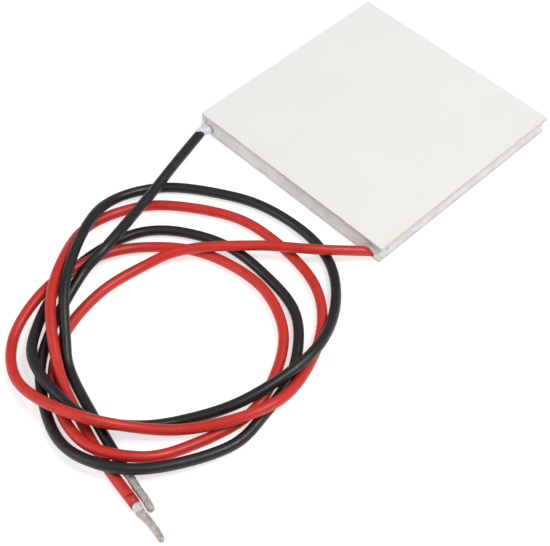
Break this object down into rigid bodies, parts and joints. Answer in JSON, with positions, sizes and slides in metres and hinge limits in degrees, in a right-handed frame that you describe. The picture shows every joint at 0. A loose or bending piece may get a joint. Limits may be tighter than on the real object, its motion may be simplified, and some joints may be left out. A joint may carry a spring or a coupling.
{
  "type": "thermoelectric cooling module",
  "caption": "Flat ceramic heat-pump tile: semiconductor legs soldered between two ceramic plates, silicone seal at the edge, red and black leads lying loose.",
  "frame": {"origin": "middle of the underside of the hot plate's outer face, halfway between the outer edges of the two plates", "axes": "+Z from the hot face to the cold face, -Y towards the edge where the leads leave, +X from the black lead to the red lead"},
  "size_m": [0.0522, 0.0956, 0.0054],
  "materials": {
    "cold_ceramic": "matt, fine-grained fired alumina",
    "hot_ceramic": "matt, fine-grained fired alumina",
    "copper": "dull copper",
    "solder": "dull tin solder",
    "n_semiconductor": "grey crystalline, dull",
    "p_semiconductor": "grey crystalline, dull",
    "seal_silicone": "cloudy white, slightly glossy",
    "dab_silicone": "cloudy bluish white, slightly glossy",
    "tinned_wire": "dull tinned strands",
    "black_insulation": "satin, soft",
    "red_insulation": "satin, soft"
  },
  "bodies": {
    "root": {"cold_plate": "cold_ceramic", "hot_plate": "hot_ceramic", "cold_tabs": "copper", "hot_tabs": "copper", "negative_terminal_tab": "copper", "positive_terminal_tab": "copper", "cold_solder": "solder", "hot_solder": "solder", "n_legs": "n_semiconductor", "p_legs": "p_semiconductor", "perimeter_seal": "seal_silicone", "negative_lead_solder": "solder", "positive_lead_solder": "solder", "black_inner_strands": "tinned_wire", "red_inner_strands": "tinned_wire", "black_exit_sealant": "dab_silicone", "red_exit_sealant": "seal_silicone", "black_insulation": "black_insulation", "red_insulation": "red_insulation", "black_tinned_end": "tinned_wire", "red_tinned_end": "tinned_wire"}
  },
  "joints": []
}
